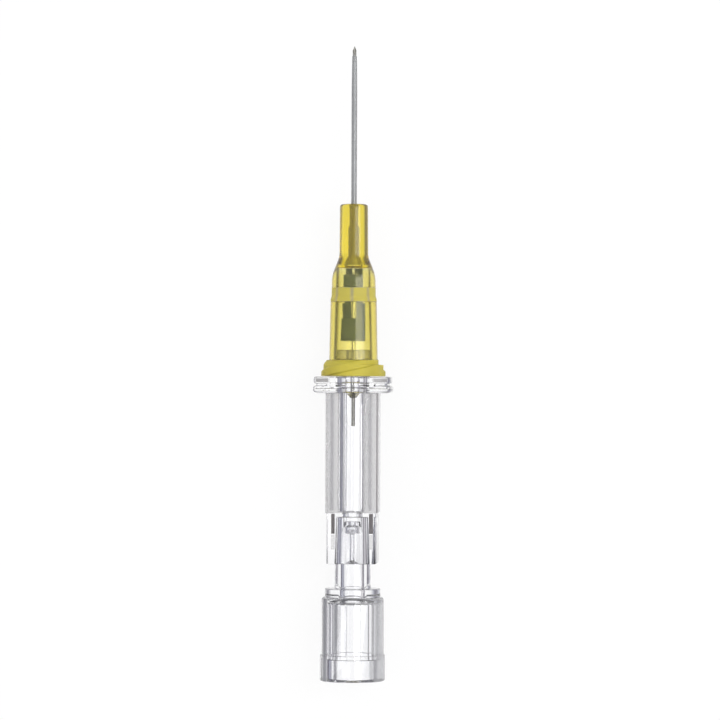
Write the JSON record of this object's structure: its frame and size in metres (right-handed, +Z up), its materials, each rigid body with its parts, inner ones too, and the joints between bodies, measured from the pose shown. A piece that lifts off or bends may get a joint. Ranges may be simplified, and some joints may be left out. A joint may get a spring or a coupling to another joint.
{
  "type": "intravenous cannula",
  "caption": "Over-the-needle intravenous catheter with a translucent yellow hub, clear flash chamber, inner needle guard clip and vented plug.",
  "frame": {"origin": "centre of the overall box in plan, on the surface it lies on", "axes": "+Y along the needle towards its tip, +Z up from the surface, +X to the right"},
  "size_m": [0.0096, 0.0774, 0.0079],
  "materials": {
    "needle_steel": "ground",
    "soft_tube": "translucent",
    "eyelet_steel": "drawn",
    "yellow_plastic": "translucent",
    "spring_steel": "rolled",
    "clear_plastic": "clear",
    "cured_glue": "clear",
    "plug_plastic": "clear",
    "porous_film": "porous"
  },
  "bodies": {
    "needle_unit": {"needle_hub": "clear_plastic", "needle_cannula": "needle_steel", "needle_adhesive": "cured_glue"},
    "catheter": {"catheter_hub": "yellow_plastic", "catheter_tube": "soft_tube", "catheter_eyelet": "eyelet_steel"},
    "needle_guard": {"safety_clip": "spring_steel"},
    "flash_plug": {"vent_plug": "plug_plastic", "filter_membrane": "porous_film"}
  },
  "joints": [
    {"name": "catheter_slide", "type": "slide", "parent": "needle_unit", "child": "catheter", "axis": [0, 1, 0], "range_m": [0, 0.045]},
    {"name": "guard_slide", "type": "slide", "parent": "needle_unit", "child": "needle_guard", "axis": [0, 1, 0], "range_m": [0, 0.0297]},
    {"name": "plug_pull", "type": "slide", "parent": "needle_unit", "child": "flash_plug", "axis": [0, -1, 0], "range_m": [0, 0.012]}
  ],
  "couplings": [
    {"joint": "guard_slide", "follows": "catheter_slide", "ratio": 0.66}
  ]
}
